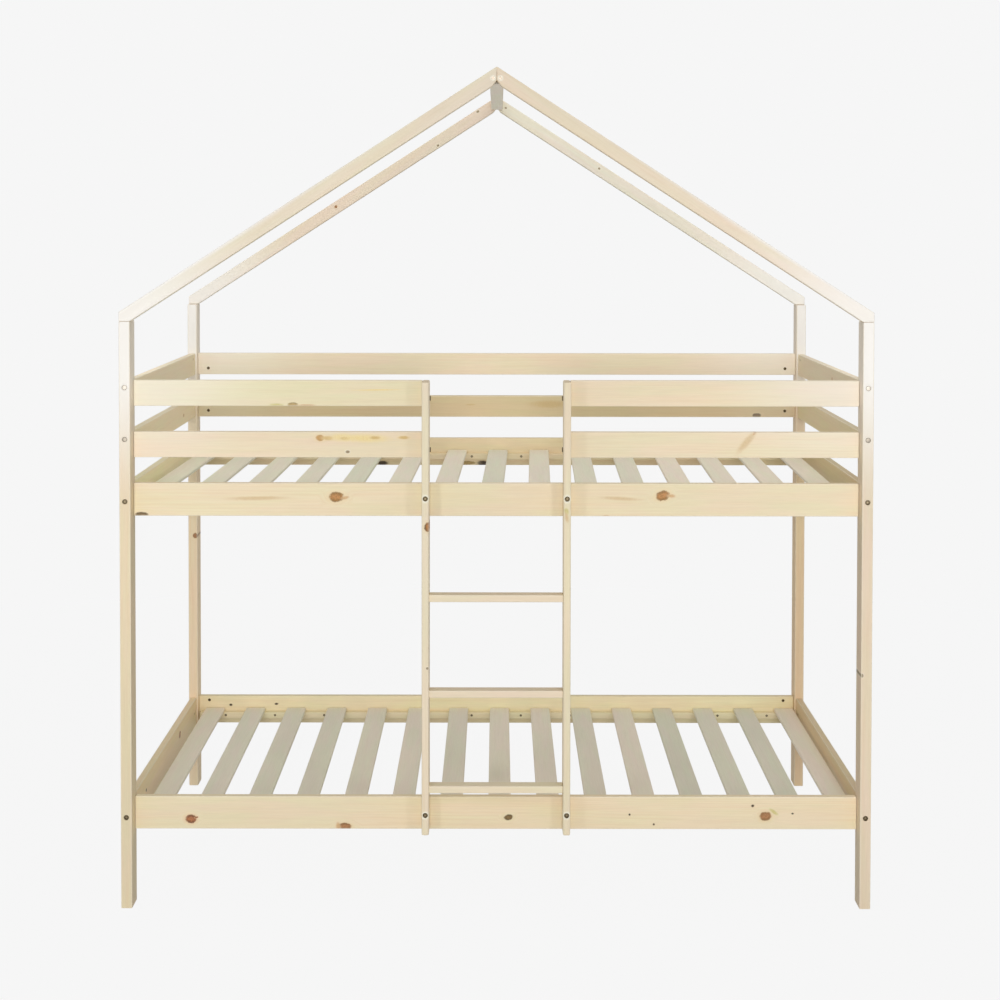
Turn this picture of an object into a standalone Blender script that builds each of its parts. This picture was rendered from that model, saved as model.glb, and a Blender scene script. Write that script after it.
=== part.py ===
# House bunk bed: two slatted beds between four posts, a guard round the upper one,
# a ladder in the middle of the front and an open gable roof over the posts.
# Metres, +Z up. The ladder faces -Y. The origin is under the middle, on the floor.
# Left and right are as seen from the ladder, so left is at -X.

import bpy
import bmesh
from math import hypot, radians
from mathutils import Matrix, Vector

# Space inside the frame, between the faces of the posts
CLEAR_LENGTH = 1.915
CLEAR_DEPTH = 0.900

# Timber
BOARD = 0.019
RAIL_HEIGHT = 0.087
GUARD_HEIGHT = 0.068
POST_WIDTH = 0.029
POST_DEPTH = 0.058
EDGE_ROUND = 0.002
FIT_GAP = 0.0003

# Heights, each counted from the piece below it
LEG_CLEARANCE = 0.198
BUNK_SPACE = 0.747
GUARD_GAP = 0.068
POST_ABOVE_GUARD = 0.157

# Slats and the ledges that carry them
SLAT_COUNT = 15
SLAT_WIDTH = 0.061
SLAT_THICKNESS = 0.010
SLAT_TOP_DROP = 0.037
SLAT_END_MARGIN = 0.0128
SLAT_END_GAP = 0.0025
LOWER_SLAT_SHIFT = 0.010
UPPER_SLAT_SHIFT = -0.005
LOWER_SLAT_TURN = 0.0
UPPER_SLAT_TURN = 1.3
LEDGE_WIDTH = 0.022
LEDGE_HEIGHT = 0.020
LEDGE_END_GAP = 0.006
LEDGE_LET_IN = 0.003

# Ladder
LADDER_CLEAR_WIDTH = 0.352
STILE_DEPTH = 0.068
STILE_ROUND = 0.004
RUNG_COUNT = 3
RUNG_DEPTH = 0.036
RUNG_SETBACK = 0.006
RUNG_LET_IN = 0.006
FIRST_RUNG_RISE = 0.042
TOP_RUNG_DROP = 0.200

# Roof
ROOF_RISE = 0.622
RAFTER_DEPTH = 0.036
RAFTER_THICKNESS = 0.036
RIDGE_WIDTH = 0.036
RIDGE_HEIGHT = 0.033
MITRE_RELIEF_RUN = 0.012
MITRE_RELIEF_RISE = 0.0075
RIDGE_SCREW_SPREAD = 0.0098
RIDGE_SCREW_RISE = 0.0125
RIDGE_SCREW_HOLE = 0.005
RIDGE_SCREW_SEAT = 0.0095
RIDGE_SCREW_SEAT_DEPTH = 0.002
RIDGE_PILOT_DEPTH = 0.045
ROOF_DOWEL = 0.008
ROOF_DOWEL_RISE = 0.018
ROOF_DOWEL_SUNK = 0.012

# Bolts with barrel nuts
BOLT_HOLE = 0.007
HEAD_SEAT = 0.0145
HEAD_SEAT_DEPTH = 0.003
NUT_HOLE = 0.010
NUT_SETBACK = 0.033
BORE_PAST_NUT = 0.012
RAIL_BOLT_SPREAD = 0.030
GUARD_BOLT_RISE = 0.018
GUARD_BOLT_DROP = 0.014
LADDER_BOLT_RISE = 0.010

# Faces of the curves, and how far a cutter runs past what it cuts
BOLT_SIDES = 8
SEAT_SIDES = 10
NUT_SIDES = 8
DOWEL_SIDES = 12
ROUND_STEPS = 2
LEDGE_STEPS = 1
SLAT_STEPS = 1
FLAT_ANGLE = 0.1
OVERRUN = 0.002
WELD = 0.00001

# Levels: the bottom and the height of each ring of boards
LOWER_RAIL = (LEG_CLEARANCE, RAIL_HEIGHT)
UPPER_RAIL = (sum(LOWER_RAIL) + BUNK_SPACE, RAIL_HEIGHT)
LOWER_GUARD = (sum(UPPER_RAIL) + GUARD_GAP, GUARD_HEIGHT)
UPPER_GUARD = (sum(LOWER_GUARD) + GUARD_GAP, GUARD_HEIGHT)
POST_TOP = sum(UPPER_GUARD) + POST_ABOVE_GUARD

# Places across the length
HALF_CLEAR = CLEAR_LENGTH / 2
HALF_OUTER = HALF_CLEAR + POST_WIDTH
POST_MIDDLE_X = HALF_CLEAR + POST_WIDTH / 2
STILE_MIDDLE_X = (LADDER_CLEAR_WIDTH + BOARD) / 2

# Places through the depth
STILE_PROUD = max(STILE_DEPTH - POST_DEPTH, 0)
TOTAL_DEPTH = STILE_PROUD + POST_DEPTH + CLEAR_DEPTH + POST_DEPTH
FRONT = STILE_PROUD - TOTAL_DEPTH / 2
FRONT_INNER = FRONT + POST_DEPTH
BACK_INNER = FRONT_INNER + CLEAR_DEPTH
BACK = BACK_INNER + POST_DEPTH
FRONT_BOARD = (FRONT_INNER - BOARD, FRONT_INNER)
BACK_BOARD_INNER = BACK_INNER + (POST_DEPTH - BOARD) / 2
BACK_BOARD = (BACK_BOARD_INNER, BACK_BOARD_INNER + BOARD)
STILE_FRONT = FRONT_INNER - STILE_DEPTH

# Roof slope, and the height of a rafter measured upright
ROOF_SLOPE = ROOF_RISE / HALF_CLEAR
RAFTER_UPRIGHT = RAFTER_DEPTH * hypot(1, ROOF_SLOPE)
INNER_APEX = POST_TOP + ROOF_RISE

SIDES = {"left": -1, "right": 1}
LONG_BOARDS = {"front": FRONT_BOARD, "back": BACK_BOARD}
POST_FACES = {"front": (FRONT, FRONT_INNER), "back": (BACK_INNER, BACK)}
RAIL_LEVELS = {"lower_rail": LOWER_RAIL, "upper_rail": UPPER_RAIL}
GUARD_LEVELS = {"lower_guard": LOWER_GUARD, "upper_guard": UPPER_GUARD}


def new_collection(name):
    collection = bpy.data.collections.new(name)
    bpy.context.scene.collection.children.link(collection)
    return collection


def clear_scene():
    for item in list(bpy.data.objects):
        bpy.data.objects.remove(item, do_unlink=True)


def wood(name, colour, roughness):
    material = bpy.data.materials.new(name)
    material.use_nodes = True
    shader = material.node_tree.nodes["Principled BSDF"]
    shader.inputs["Base Color"].default_value = (*colour, 1)
    shader.inputs["Roughness"].default_value = roughness
    shader.inputs["Metallic"].default_value = 0
    return material


def middle(pair):
    return (pair[0] + pair[1]) / 2


def level_middle(level):
    bottom, height = level
    return bottom + height / 2


clear_scene()
PIECES = new_collection("house_bunk_bed")
CUTTERS = new_collection("cutters")
ROOT = bpy.data.objects.new("house_bunk_bed_root", None)
PIECES.objects.link(ROOT)


# Shapes

def new_object(name, mesh, place, collection):
    item = bpy.data.objects.new(name, mesh)
    item.location = place
    collection.objects.link(item)
    if collection == CUTTERS:
        item.hide_render = True
        item.display_type = "WIRE"
    else:
        item.parent = ROOT
    return item


def box(name, low, high, collection):
    """A box between two corners, with its origin in its middle."""
    low, high = Vector(low), Vector(high)
    shape = bmesh.new()
    bmesh.ops.create_cube(shape, size=1, matrix=Matrix.Diagonal((*(high - low), 1)))
    mesh = bpy.data.meshes.new(name)
    shape.to_mesh(mesh)
    shape.free()
    return new_object(name, mesh, (low + high) / 2, collection)


def mark_outer_edges(shape):
    """Give bevel weight to the outer corners only, so that notches stay square."""
    weight = shape.edges.layers.float.new("bevel_weight_edge")
    for edge in shape.edges:
        corner = edge.calc_face_angle(0) > FLAT_ANGLE
        edge[weight] = 1 if corner and edge.is_convex else 0


def outline_solid(name, points, thickness, place, turn):
    """A flat outline given a thickness, turned upright and moved to its place."""
    curve = bpy.data.curves.new(name, "CURVE")
    curve.dimensions = "2D"
    curve.fill_mode = "BOTH"
    curve.extrude = thickness / 2
    spline = curve.splines.new("POLY")
    spline.points.add(len(points) - 1)
    for point, (across, up) in zip(spline.points, points):
        point.co = (across, up, 0, 1)
    spline.use_cyclic_u = True
    drawn = bpy.data.objects.new(name + "_outline", curve)
    CUTTERS.objects.link(drawn)
    bpy.context.view_layer.update()
    evaluated = drawn.evaluated_get(bpy.context.evaluated_depsgraph_get())
    mesh = bpy.data.meshes.new_from_object(evaluated)
    bpy.data.objects.remove(drawn, do_unlink=True)
    shape = bmesh.new()
    shape.from_mesh(mesh)
    bmesh.ops.remove_doubles(shape, verts=shape.verts, dist=WELD)
    bmesh.ops.dissolve_limit(shape, angle_limit=FLAT_ANGLE, verts=shape.verts, edges=shape.edges)
    bmesh.ops.transform(shape, matrix=turn, verts=shape.verts)
    bmesh.ops.recalc_face_normals(shape, faces=shape.faces)
    mark_outer_edges(shape)
    shape.to_mesh(mesh)
    shape.free()
    mesh.name = name
    return new_object(name, mesh, place, PIECES)


def rods(name, spans, diameter, sides):
    """Round cutters, one for each pair of end points."""
    shape = bmesh.new()
    for start, end in spans:
        start, end = Vector(start), Vector(end)
        along = end - start
        turn = along.to_track_quat("Z", "Y").to_matrix().to_4x4()
        bmesh.ops.create_cone(
            shape, cap_ends=True, segments=sides, radius1=diameter / 2,
            radius2=diameter / 2, depth=along.length,
            matrix=Matrix.Translation((start + end) / 2) @ turn)
    mesh = bpy.data.meshes.new(name)
    shape.to_mesh(mesh)
    shape.free()
    return new_object(name, mesh, Vector(), CUTTERS)


# Finishing steps

def round_edges(item, width, steps=ROUND_STEPS, limit="ANGLE"):
    bevel = item.modifiers.new("rounded_edges", "BEVEL")
    bevel.width = width
    bevel.segments = steps
    bevel.limit_method = limit
    return item


def combine(item, other, operation, label):
    step = item.modifiers.new(label, "BOOLEAN")
    step.operation = operation
    step.solver = "EXACT"
    step.object = other


def drill(item, spans, diameter, sides, label):
    if spans:
        cutter = rods(f"{item.name}_{label}", spans, diameter, sides)
        combine(item, cutter, "DIFFERENCE", label)


def drill_with_seats(item, spans, diameter, seats, seat_diameter, label):
    """Holes and the seats of the heads in them, cut in one step."""
    cutter = rods(f"{item.name}_{label}", spans, diameter, BOLT_SIDES)
    wider = rods(f"{item.name}_{label}_seats", seats, seat_diameter, SEAT_SIDES)
    combine(cutter, wider, "UNION", "seats")
    combine(item, cutter, "DIFFERENCE", label)


def through(middle_point, axis, low, high):
    """End points of a hole right through a piece, along X or Y."""
    start, end = Vector(middle_point), Vector(middle_point)
    start[axis], end[axis] = low - OVERRUN, high + OVERRUN
    return start, end


def head_seat(middle_point, axis, face, inward, depth=HEAD_SEAT_DEPTH):
    """End points of the shallow seat that lets a bolt's or a screw's head into a face."""
    start, end = Vector(middle_point), Vector(middle_point)
    start[axis] = face - inward * OVERRUN
    end[axis] = face + inward * depth
    return start, end


def finish(item, material):
    item.data.materials.append(material)
    for face in item.data.polygons:
        face.use_smooth = False
    return item


def board(name, low, high, material, steps=ROUND_STEPS):
    return finish(round_edges(box(name, low, high, PIECES), EDGE_ROUND, steps), material)


# Holes for the bolts and the barrel nuts

def long_bolt_heights(level):
    """Bolts that run along the bed: two in a rail's end, one in a guard's."""
    centre = level_middle(level)
    if level in GUARD_LEVELS.values():
        return [centre - GUARD_BOLT_DROP]
    return [centre - RAIL_BOLT_SPREAD, centre + RAIL_BOLT_SPREAD]


def short_bolt_heights(level):
    """Bolts that run from front to back, clear of those along the bed."""
    centre = level_middle(level)
    if level in GUARD_LEVELS.values():
        return [centre + GUARD_BOLT_RISE]
    return [centre]


def drill_ends(item, axis, ends, across, heights, inner_face):
    """Bores into both ends of a board, and a barrel nut's hole to meet each."""
    other = 1 - axis
    nut_reach = middle(across) + (NUT_HOLE / 2 if inner_face == across[0] else -NUT_HOLE / 2)
    mouth = inner_face - OVERRUN if inner_face == across[0] else inner_face + OVERRUN
    bores, nuts = [], []
    for end, inward in zip(ends, (1, -1)):
        for height in heights:
            start, stop, nut_start, nut_stop = (Vector() for _ in range(4))
            start[axis] = end - inward * OVERRUN
            stop[axis] = end + inward * (NUT_SETBACK + BORE_PAST_NUT)
            start[other] = stop[other] = middle(across)
            nut_start[axis] = nut_stop[axis] = end + inward * NUT_SETBACK
            nut_start[other], nut_stop[other] = mouth, nut_reach
            for point in (start, stop, nut_start, nut_stop):
                point.z = height
            bores.append((start, stop))
            nuts.append((nut_start, nut_stop))
    drill(item, bores, BOLT_HOLE, BOLT_SIDES, "bolt_bores")
    drill(item, nuts, NUT_HOLE, NUT_SIDES, "nut_holes")


# Posts

def post_bolts(side, long_board):
    """A point and the axis of each bolt through a post."""
    bolts = []
    for level in (*RAIL_LEVELS.values(), *GUARD_LEVELS.values()):
        bolts += [((side * POST_MIDDLE_X, 0, height), 1) for height in short_bolt_heights(level)]
        bolts += [((0, middle(long_board), height), 0) for height in long_bolt_heights(level)]
    return bolts


def drill_post(post, end, side, faces):
    """Holes right through the post, with seats for the heads in its outer faces."""
    bolts = post_bolts(side, LONG_BOARDS[end])
    reach = (sorted((side * HALF_CLEAR, side * HALF_OUTER)), faces)
    outer = ((side * HALF_OUTER, -side), (faces[0], 1) if end == "front" else (faces[1], -1))
    drill_with_seats(post, [through(point, axis, *reach[axis]) for point, axis in bolts], BOLT_HOLE,
                     [head_seat(point, axis, *outer[axis]) for point, axis in bolts], HEAD_SEAT,
                     "bolt_holes")


def dowel_place(end):
    """Middle of the dowel through the depth, under the middle of its rafter."""
    if end == "front":
        return FRONT + RAFTER_THICKNESS / 2
    return BACK - RAFTER_THICKNESS / 2


def make_posts(material):
    for end, faces in POST_FACES.items():
        for side_name, side in SIDES.items():
            x_low, x_high = sorted((side * HALF_CLEAR, side * HALF_OUTER))
            post = board(f"post_{end}_{side_name}", (x_low, faces[0], 0),
                         (x_high, faces[1], POST_TOP), material)
            foot = Vector((side * POST_MIDDLE_X, dowel_place(end), POST_TOP - ROOF_DOWEL_SUNK))
            head = Vector((foot.x, foot.y, POST_TOP + ROOF_DOWEL_RISE))
            dowel = rods(post.name + "_dowel", [(foot, head)], ROOF_DOWEL, DOWEL_SIDES)
            combine(post, dowel, "UNION", "roof_dowel")
            drill_post(post, end, side, faces)


# Bed rails

def ladder_bolt_spans(level, low, high):
    height = level_middle(level) + LADDER_BOLT_RISE
    return [through((side * STILE_MIDDLE_X, 0, height), 1, low, high)
            for side in SIDES.values()]


def slat_top(level):
    return sum(level) - SLAT_TOP_DROP


def add_ledge(rail, level, across, inner_face):
    """A strip along the inside of a long rail, let in and glued, for the slats."""
    inward = 1 if inner_face == across[1] else -1
    root, tip = sorted((inner_face - inward * LEDGE_LET_IN, inner_face + inward * LEDGE_WIDTH))
    top = slat_top(level) - SLAT_THICKNESS - FIT_GAP
    reach = HALF_CLEAR - LEDGE_END_GAP
    ledge = box(rail.name + "_ledge", (-reach, root, top - LEDGE_HEIGHT),
                (reach, tip, top), CUTTERS)
    round_edges(ledge, EDGE_ROUND, LEDGE_STEPS)
    combine(rail, ledge, "UNION", "ledge")


def make_long_rails(material):
    for level_name, level in RAIL_LEVELS.items():
        for end, across in LONG_BOARDS.items():
            inner_face = across[1] if end == "front" else across[0]
            reach = HALF_CLEAR - FIT_GAP
            rail = board(f"{level_name}_{end}", (-reach, across[0], level[0]),
                         (reach, across[1], sum(level)), material)
            add_ledge(rail, level, across, inner_face)
            drill_ends(rail, 0, (-reach, reach), across, long_bolt_heights(level), inner_face)
            if end == "front":
                drill(rail, ladder_bolt_spans(level, *across), BOLT_HOLE, BOLT_SIDES,
                      "ladder_bolt_holes")


def make_short_boards(levels, material):
    """Rails or guards across the ends, between the inner faces of the posts."""
    ends = (FRONT_INNER + FIT_GAP, BACK_INNER - FIT_GAP)
    for level_name, level in levels.items():
        for side_name, side in SIDES.items():
            centre = side * POST_MIDDLE_X
            across = (centre - BOARD / 2, centre + BOARD / 2)
            inner_face = across[0] if side > 0 else across[1]
            item = board(f"{level_name}_{side_name}", (across[0], ends[0], level[0]),
                         (across[1], ends[1], sum(level)), material)
            drill_ends(item, 1, ends, across, short_bolt_heights(level), inner_face)


# Guards

def make_long_guard(name, level, across, ends, inner_face, material):
    guard = board(name, (ends[0], across[0], level[0]), (ends[1], across[1], sum(level)), material)
    drill_ends(guard, 0, ends, across, long_bolt_heights(level), inner_face)


def make_long_guards(material):
    post_end = HALF_CLEAR - FIT_GAP
    stile_end = STILE_MIDDLE_X + BOARD / 2 + FIT_GAP
    for level_name, level in GUARD_LEVELS.items():
        make_long_guard(f"{level_name}_back", level, BACK_BOARD, (-post_end, post_end),
                        BACK_BOARD[0], material)
        for side_name, side in SIDES.items():
            ends = sorted((side * post_end, side * stile_end))
            make_long_guard(f"{level_name}_front_{side_name}", level, FRONT_BOARD, ends,
                            FRONT_BOARD[1], material)


# Ladder

def stile_outline():
    """Side view of a stile: depth across, height up, from its foot at the front."""
    notch = FRONT_BOARD[0] - FIT_GAP
    back = FRONT_BOARD[1]
    return [
        (STILE_FRONT, LOWER_RAIL[0]),
        (notch, LOWER_RAIL[0]),
        (notch, sum(LOWER_RAIL) + FIT_GAP),
        (back, sum(LOWER_RAIL) + FIT_GAP),
        (back, UPPER_RAIL[0] - FIT_GAP),
        (notch, UPPER_RAIL[0] - FIT_GAP),
        (notch, sum(UPPER_RAIL) + FIT_GAP),
        (back, sum(UPPER_RAIL) + FIT_GAP),
        (back, sum(UPPER_GUARD)),
        (STILE_FRONT, sum(UPPER_GUARD)),
    ]


def rung_tops():
    first = sum(LOWER_RAIL) + FIRST_RUNG_RISE
    last = UPPER_RAIL[0] - TOP_RUNG_DROP
    step = (last - first) / (RUNG_COUNT - 1)
    return [first + step * count for count in range(RUNG_COUNT)]


def make_stile(side_name, side, material):
    upright = Matrix(((0, 0, 1, 0), (1, 0, 0, 0), (0, 1, 0, 0), (0, 0, 0, 1)))
    stile = outline_solid(f"ladder_stile_{side_name}", stile_outline(), BOARD,
                          (side * STILE_MIDDLE_X, 0, 0), upright)
    finish(round_edges(stile, STILE_ROUND, limit="WEIGHT"), material)
    return stile


def drill_stile(stile, side):
    x_low = side * STILE_MIDDLE_X - BOARD / 2
    bolts = [through((0, middle(FRONT_BOARD), height), 0, x_low, x_low + BOARD)
             for level in GUARD_LEVELS.values() for height in long_bolt_heights(level)]
    seats = []
    for level in RAIL_LEVELS.values():
        point = (side * STILE_MIDDLE_X, 0, level_middle(level) + LADDER_BOLT_RISE)
        bolts.append(through(point, 1, STILE_FRONT, FRONT_BOARD[0]))
        seats.append(head_seat(point, 1, STILE_FRONT, 1))
    drill_with_seats(stile, bolts, BOLT_HOLE, seats, HEAD_SEAT, "bolt_holes")


def add_rungs(stile):
    """The rungs are glued into this stile and meet the other end to face."""
    start = -LADDER_CLEAR_WIDTH / 2 - RUNG_LET_IN
    stop = LADDER_CLEAR_WIDTH / 2 - FIT_GAP
    face = STILE_FRONT + RUNG_SETBACK
    for count, top in enumerate(rung_tops(), 1):
        rung = box(f"rung_{count}", (start, face, top - BOARD), (stop, face + RUNG_DEPTH, top),
                   CUTTERS)
        round_edges(rung, EDGE_ROUND)
        combine(stile, rung, "UNION", f"rung_{count}")


def make_ladder(material):
    for side_name, side in SIDES.items():
        stile = make_stile(side_name, side, material)
        if side < 0:
            add_rungs(stile)
        drill_stile(stile, side)


# Slats

def slat_pitch():
    return (CLEAR_LENGTH - 2 * SLAT_END_MARGIN - SLAT_WIDTH) / (SLAT_COUNT - 1)


def make_slats(material):
    """The slats of each bed lie loose on their ledges, a little to one side and askew."""
    front = FRONT_BOARD[1] + SLAT_END_GAP
    back = BACK_BOARD[0] - SLAT_END_GAP
    for deck, level, shift, turn in (
            ("lower", LOWER_RAIL, LOWER_SLAT_SHIFT, LOWER_SLAT_TURN),
            ("upper", UPPER_RAIL, UPPER_SLAT_SHIFT, UPPER_SLAT_TURN)):
        top = slat_top(level)
        for count in range(SLAT_COUNT):
            left = -HALF_CLEAR + SLAT_END_MARGIN + count * slat_pitch() + shift
            slat = board(f"{deck}_slat_{count + 1:02d}", (left, front, top - SLAT_THICKNESS),
                         (left + SLAT_WIDTH, back, top), material, SLAT_STEPS)
            slat.rotation_euler.z = -radians(turn)


# Roof

def underside(distance):
    """Height of the rafters' lower edge at a distance from the middle."""
    return INNER_APEX - ROOF_SLOPE * distance


def rafter_outline(side):
    """Front view of a rafter: seat cut on the post, plumb tip, mitre with its relief."""
    seat = POST_TOP + FIT_GAP
    mitre = FIT_GAP / 2
    shape = [
        (HALF_OUTER, seat),
        (HALF_CLEAR, seat),
        (MITRE_RELIEF_RUN, underside(MITRE_RELIEF_RUN)),
        (mitre, INNER_APEX + MITRE_RELIEF_RISE),
        (mitre, underside(mitre) + RAFTER_UPRIGHT),
        (HALF_OUTER, underside(HALF_OUTER) + RAFTER_UPRIGHT),
    ]
    return [(side * across, up) for across, up in shape]


def drill_for_ridge_screw(rafter, end, side, low, high):
    """The hole through a rafter for its screw into the ridge, with a seat for the head."""
    point = (side * RIDGE_SCREW_SPREAD, 0, INNER_APEX + RIDGE_SCREW_RISE)
    outer = (low, 1) if end == "front" else (high, -1)
    drill_with_seats(rafter, [through(point, 1, low, high)], RIDGE_SCREW_HOLE,
                     [head_seat(point, 1, *outer, RIDGE_SCREW_SEAT_DEPTH)], RIDGE_SCREW_SEAT,
                     "ridge_screw_hole")


def make_rafters(material):
    upright = Matrix(((1, 0, 0, 0), (0, 0, -1, 0), (0, 1, 0, 0), (0, 0, 0, 1)))
    for end in POST_FACES:
        centre = dowel_place(end)
        low, high = centre - RAFTER_THICKNESS / 2, centre + RAFTER_THICKNESS / 2
        for side_name, side in SIDES.items():
            rafter = outline_solid(f"rafter_{end}_{side_name}", rafter_outline(side),
                                   RAFTER_THICKNESS, (0, centre, 0), upright)
            finish(round_edges(rafter, EDGE_ROUND, limit="WEIGHT"), material)
            foot = Vector((side * POST_MIDDLE_X, centre, POST_TOP - OVERRUN))
            head = Vector((foot.x, foot.y, POST_TOP + ROOF_DOWEL_RISE + 2 * FIT_GAP))
            drill(rafter, [(foot, head)], ROOF_DOWEL + 2 * FIT_GAP, DOWEL_SIDES, "dowel_hole")
            drill_for_ridge_screw(rafter, end, side, low, high)


def make_ridge(material):
    low = FRONT + RAFTER_THICKNESS + FIT_GAP
    high = BACK - RAFTER_THICKNESS - FIT_GAP
    ridge = board("ridge_beam", (-RIDGE_WIDTH / 2, low, INNER_APEX),
                  (RIDGE_WIDTH / 2, high, INNER_APEX + RIDGE_HEIGHT), material)
    pilots = []
    for start, stop in ((low - OVERRUN, low + RIDGE_PILOT_DEPTH),
                        (high - RIDGE_PILOT_DEPTH, high + OVERRUN)):
        for side in SIDES.values():
            across, up = side * RIDGE_SCREW_SPREAD, INNER_APEX + RIDGE_SCREW_RISE
            pilots.append(((across, start, up), (across, stop, up)))
    drill(ridge, pilots, RIDGE_SCREW_HOLE, BOLT_SIDES, "screw_pilots")


def main():
    post_pine = wood("post_pine", (0.80, 0.70, 0.50), 0.55)
    rail_pine = wood("rail_pine", (0.80, 0.68, 0.46), 0.55)
    guard_pine = wood("guard_pine", (0.80, 0.69, 0.48), 0.55)
    ladder_pine = wood("ladder_pine", (0.81, 0.68, 0.45), 0.55)
    roof_pine = wood("roof_pine", (0.84, 0.75, 0.55), 0.55)
    slat_wood = wood("slat_wood", (0.60, 0.54, 0.42), 0.65)
    make_posts(post_pine)
    make_long_rails(rail_pine)
    make_short_boards(RAIL_LEVELS, rail_pine)
    make_long_guards(guard_pine)
    make_short_boards(GUARD_LEVELS, guard_pine)
    make_ladder(ladder_pine)
    make_slats(slat_wood)
    make_rafters(roof_pine)
    make_ridge(roof_pine)


main()
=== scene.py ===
import random
from math import atan2, cos, pi, radians
import bmesh
import bpy
from mathutils import Euler, Matrix, Vector


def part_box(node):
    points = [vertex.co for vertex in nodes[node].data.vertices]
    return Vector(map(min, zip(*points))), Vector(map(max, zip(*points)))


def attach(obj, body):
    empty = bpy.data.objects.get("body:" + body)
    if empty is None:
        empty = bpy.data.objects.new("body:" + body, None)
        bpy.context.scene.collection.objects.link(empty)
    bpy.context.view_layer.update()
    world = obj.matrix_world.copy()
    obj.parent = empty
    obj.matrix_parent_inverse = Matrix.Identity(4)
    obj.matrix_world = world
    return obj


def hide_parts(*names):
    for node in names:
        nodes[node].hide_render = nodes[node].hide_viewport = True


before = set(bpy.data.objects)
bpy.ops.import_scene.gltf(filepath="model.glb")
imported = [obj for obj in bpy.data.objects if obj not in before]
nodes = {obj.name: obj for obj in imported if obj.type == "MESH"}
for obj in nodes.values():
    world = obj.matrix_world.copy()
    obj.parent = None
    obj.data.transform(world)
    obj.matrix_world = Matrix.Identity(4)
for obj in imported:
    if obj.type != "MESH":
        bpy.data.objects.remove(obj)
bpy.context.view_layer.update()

print(f"1 of 6: {len(nodes)} boards loaded")


# Node helpers: an input takes a plain value or the socket of another node

def feed(tree, socket, value):
    if isinstance(value, bpy.types.NodeSocket):
        tree.links.new(value, socket)
    else:
        socket.default_value = value


def put(tree, kind, spot, inputs=None, **settings):
    node = tree.nodes.new(kind)
    node.location = spot
    for name, value in settings.items():
        setattr(node, name, value)
    for key, value in (inputs or {}).items():
        feed(tree, node.inputs[key], value)
    return node


def maths(tree, operation, spot, *values):
    return put(tree, "ShaderNodeMath", spot, dict(enumerate(values)), operation=operation).outputs[0]


def vectors(tree, operation, spot, *values):
    node = put(tree, "ShaderNodeVectorMath", spot, dict(enumerate(values)), operation=operation)
    return node.outputs["Value" if operation in ("LENGTH", "DISTANCE", "DOT_PRODUCT") else "Vector"]


def times(tree, spot, vector, factor):
    return put(tree, "ShaderNodeVectorMath", spot, {0: vector, "Scale": factor}, operation="SCALE").outputs[0]


def component(tree, spot, vector, axis):
    return put(tree, "ShaderNodeSeparateXYZ", spot, {0: vector}).outputs[axis]


def stretch(tree, spot, vector, along, across):
    # the grain runs along X, so a pattern is stretched by scaling X less than Y and Z
    return vectors(tree, "MULTIPLY", spot, vector, (along, across, across))


def noise(tree, spot, vector, scale=1.0, detail=2.0, output="Fac"):
    return put(tree, "ShaderNodeTexNoise", spot, {"Vector": vector, "Scale": scale, "Detail": detail}).outputs[output]


def mixColours(tree, spot, amount, first, second):
    return put(tree, "ShaderNodeMix", spot, {0: amount, 6: first, 7: second}, data_type="RGBA").outputs[2]


def fade(tree, spot, value, start, end, low=0.0, high=1.0):
    # a smooth change from low to high while the value goes from start to end
    return put(tree, "ShaderNodeMapRange", spot, {0: value, 1: start, 2: end, 3: low, 4: high},
               interpolation_type="SMOOTHSTEP").outputs[0]


def bump(tree, spot, height, strength, distance):
    return put(tree, "ShaderNodeBump", spot, {"Strength": strength, "Distance": distance, "Height": height}).outputs[0]


def newMaterial(name):
    material = bpy.data.materials.new(name)
    material.use_nodes = True
    return material, material.node_tree, material.node_tree.nodes["Principled BSDF"]


def useGroup(tree, group, spot, inputs):
    return put(tree, "ShaderNodeGroup", spot, inputs, node_tree=group).outputs


def newGroup(name, inputs, outputs):
    tree = bpy.data.node_groups.new(name, "ShaderNodeTree")
    for label, kind, value in inputs:
        tree.interface.new_socket(label, in_out="INPUT", socket_type=f"NodeSocket{kind}").default_value = value
    for label, kind in outputs:
        tree.interface.new_socket(label, in_out="OUTPUT", socket_type=f"NodeSocket{kind}")
    start = put(tree, "NodeGroupInput", (-1500, 0))
    end = put(tree, "NodeGroupOutput", (1300, 0))
    return tree, start.outputs, end.inputs


# Node groups that every pine material shares

endFacing = (0.75, 0.93)        # how far a face has to turn to the grain to count as sawn


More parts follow.
